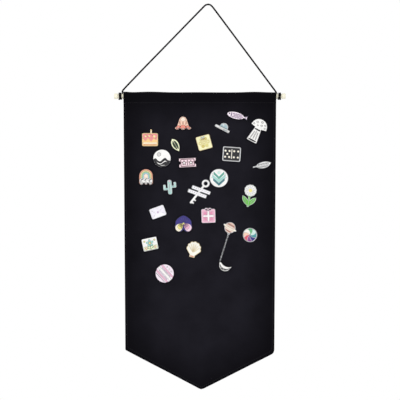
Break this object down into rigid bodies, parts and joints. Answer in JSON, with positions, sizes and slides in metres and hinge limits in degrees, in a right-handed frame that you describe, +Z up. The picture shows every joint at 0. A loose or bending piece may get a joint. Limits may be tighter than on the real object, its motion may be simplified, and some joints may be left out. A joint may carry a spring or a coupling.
{
  "type": "pin display banner",
  "caption": "Black cloth pennant on a wooden stick, hung by a cord from a wall hook, showing metal lapel badges held through the cloth by rubber clutches.",
  "frame": {"origin": "underside of the cord at its highest point, where it lies over the wall hook", "axes": "+Z up, the display side faces -Y, +X to the viewer's right along the stick"},
  "size_m": [0.248, 0.0146, 0.5578],
  "materials": {
    "black_canvas": "plain weave cotton canvas, matt bluish black",
    "black_lining": "thin plain weave lining, matt black",
    "black_cord": "twisted cotton cord, matt black",
    "pale_wood": "sanded pale birch, unvarnished",
    "steel_chain": "bright nickel plate",
    "clutch_rubber": "moulded black rubber, satin",
    "enamel_peach": "glossy enamel in a plated plate",
    "enamel_pink": "glossy enamel in a plated plate",
    "enamel_lime": "glossy enamel in a plated plate",
    "enamel_yellow": "glossy enamel in a plated plate",
    "enamel_white": "glossy enamel in a plated plate",
    "enamel_lavender": "glossy enamel in a plated plate",
    "enamel_black": "glossy enamel in a plated plate",
    "enamel_mint": "glossy enamel in a plated plate",
    "enamel_green": "glossy enamel in a plated plate",
    "enamel_indigo": "glossy enamel in a plated plate",
    "enamel_cream": "glossy enamel in a plated plate"
  },
  "bodies": {
    "hanger": {"hanging_cord": "black_cord", "wooden_stick": "pale_wood"},
    "banner": {"front_panel": "black_canvas", "back_lining": "black_lining", "charm_chain": "steel_chain", "fish_pin": "enamel_lavender", "fish_clutch_1": "clutch_rubber", "fish_clutch_2": "clutch_rubber", "mushroom_pin": "enamel_white", "mushroom_clutch_1": "clutch_rubber", "mushroom_clutch_2": "clutch_rubber", "key_pin": "enamel_white", "key_clutch_1": "clutch_rubber", "key_clutch_2": "clutch_rubber", "daisy_pin": "enamel_green", "daisy_clutch_1": "clutch_rubber", "daisy_clutch_2": "clutch_rubber", "planet_pin": "enamel_peach", "planet_clutch": "clutch_rubber", "crescent_pin": "enamel_white", "crescent_clutch": "clutch_rubber"},
    "bellflower": {"bellflower_pin": "enamel_peach", "bellflower_clutch": "clutch_rubber"},
    "cake": {"cake_pin": "enamel_pink", "cake_clutch": "clutch_rubber"},
    "leaf": {"leaf_pin": "enamel_lime", "leaf_clutch": "clutch_rubber"},
    "honeycomb": {"honeycomb_pin": "enamel_yellow", "honeycomb_clutch": "clutch_rubber"},
    "sunhat": {"sunhat_pin": "enamel_white", "sunhat_clutch": "clutch_rubber"},
    "domino": {"domino_pin": "enamel_black", "domino_clutch": "clutch_rubber"},
    "ticket": {"ticket_pin": "enamel_pink", "ticket_clutch": "clutch_rubber"},
    "wave": {"wave_pin": "enamel_white", "wave_clutch": "clutch_rubber"},
    "rainbow": {"rainbow_pin": "enamel_peach", "rainbow_clutch": "clutch_rubber"},
    "cactus": {"cactus_pin": "enamel_mint", "cactus_clutch": "clutch_rubber"},
    "chevron": {"chevron_pin": "enamel_mint", "chevron_clutch": "clutch_rubber"},
    "feather": {"feather_pin": "enamel_white", "feather_clutch": "clutch_rubber"},
    "envelope": {"envelope_pin": "enamel_white", "envelope_clutch": "clutch_rubber"},
    "pansy": {"pansy_pin": "enamel_indigo", "pansy_clutch": "clutch_rubber"},
    "gift": {"gift_pin": "enamel_pink", "gift_clutch": "clutch_rubber"},
    "pinwheel": {"pinwheel_pin": "enamel_cream", "pinwheel_clutch": "clutch_rubber"},
    "bloom": {"bloom_pin": "enamel_cream", "bloom_clutch": "clutch_rubber"},
    "shell": {"shell_pin": "enamel_cream", "shell_clutch": "clutch_rubber"},
    "stripe": {"stripe_pin": "enamel_pink", "stripe_clutch": "clutch_rubber"}
  },
  "joints": [
    {"name": "banner_swing", "type": "hinge", "parent": "hanger", "child": "banner", "pos_m": [-0.0124, -0.0047, -0.132], "axis": [1, 0, 0], "range_deg": [-150, 60]},
    {"name": "bellflower_spin", "type": "hinge", "parent": "banner", "child": "bellflower", "pos_m": [-0.0367, -0.0047, -0.171], "axis": [0, 1, 0], "continuous": true},
    {"name": "cake_spin", "type": "hinge", "parent": "banner", "child": "cake", "pos_m": [-0.0844, -0.0047, -0.195], "axis": [0, 1, 0], "continuous": true},
    {"name": "leaf_spin", "type": "hinge", "parent": "banner", "child": "leaf", "pos_m": [-0.0475, -0.0047, -0.2028], "axis": [0, 1, 0], "continuous": true},
    {"name": "honeycomb_spin", "type": "hinge", "parent": "banner", "child": "honeycomb", "pos_m": [-0.0062, -0.0047, -0.1991], "axis": [0, 1, 0], "continuous": true},
    {"name": "sunhat_spin", "type": "hinge", "parent": "banner", "child": "sunhat", "pos_m": [0.0219, -0.0047, -0.1754], "axis": [0, 1, 0], "continuous": true},
    {"name": "domino_spin", "type": "hinge", "parent": "banner", "child": "domino", "pos_m": [0.0336, -0.0047, -0.2159], "axis": [0, 1, 0], "continuous": true},
    {"name": "ticket_spin", "type": "hinge", "parent": "banner", "child": "ticket", "pos_m": [-0.0302, -0.0047, -0.2282], "axis": [0, 1, 0], "continuous": true},
    {"name": "wave_spin", "type": "hinge", "parent": "banner", "child": "wave", "pos_m": [-0.0671, -0.0047, -0.2219], "axis": [0, 1, 0], "continuous": true},
    {"name": "rainbow_spin", "type": "hinge", "parent": "banner", "child": "rainbow", "pos_m": [-0.0902, -0.0047, -0.2491], "axis": [0, 1, 0], "continuous": true},
    {"name": "cactus_spin", "type": "hinge", "parent": "banner", "child": "cactus", "pos_m": [-0.0558, -0.0047, -0.2636], "axis": [0, 1, 0], "continuous": true},
    {"name": "chevron_spin", "type": "hinge", "parent": "banner", "child": "chevron", "pos_m": [0.0152, -0.0047, -0.2506], "axis": [0, 1, 0], "continuous": true},
    {"name": "feather_spin", "type": "hinge", "parent": "banner", "child": "feather", "pos_m": [0.0775, -0.0047, -0.2323], "axis": [0, 1, 0], "continuous": true},
    {"name": "envelope_spin", "type": "hinge", "parent": "banner", "child": "envelope", "pos_m": [-0.0731, -0.0047, -0.2997], "axis": [0, 1, 0], "continuous": true},
    {"name": "pansy_spin", "type": "hinge", "parent": "banner", "child": "pansy", "pos_m": [-0.036, -0.0047, -0.3164], "axis": [0, 1, 0], "continuous": true},
    {"name": "gift_spin", "type": "hinge", "parent": "banner", "child": "gift", "pos_m": [0, -0.0047, -0.3052], "axis": [0, 1, 0], "continuous": true},
    {"name": "pinwheel_spin", "type": "hinge", "parent": "banner", "child": "pinwheel", "pos_m": [0.0601, -0.0047, -0.3328], "axis": [0, 1, 0], "continuous": true},
    {"name": "bloom_spin", "type": "hinge", "parent": "banner", "child": "bloom", "pos_m": [-0.0844, -0.0047, -0.3459], "axis": [0, 1, 0], "continuous": true},
    {"name": "shell_spin", "type": "hinge", "parent": "banner", "child": "shell", "pos_m": [-0.0212, -0.0047, -0.3534], "axis": [0, 1, 0], "continuous": true},
    {"name": "stripe_spin", "type": "hinge", "parent": "banner", "child": "stripe", "pos_m": [-0.0632, -0.0047, -0.3884], "axis": [0, 1, 0], "continuous": true}
  ]
}
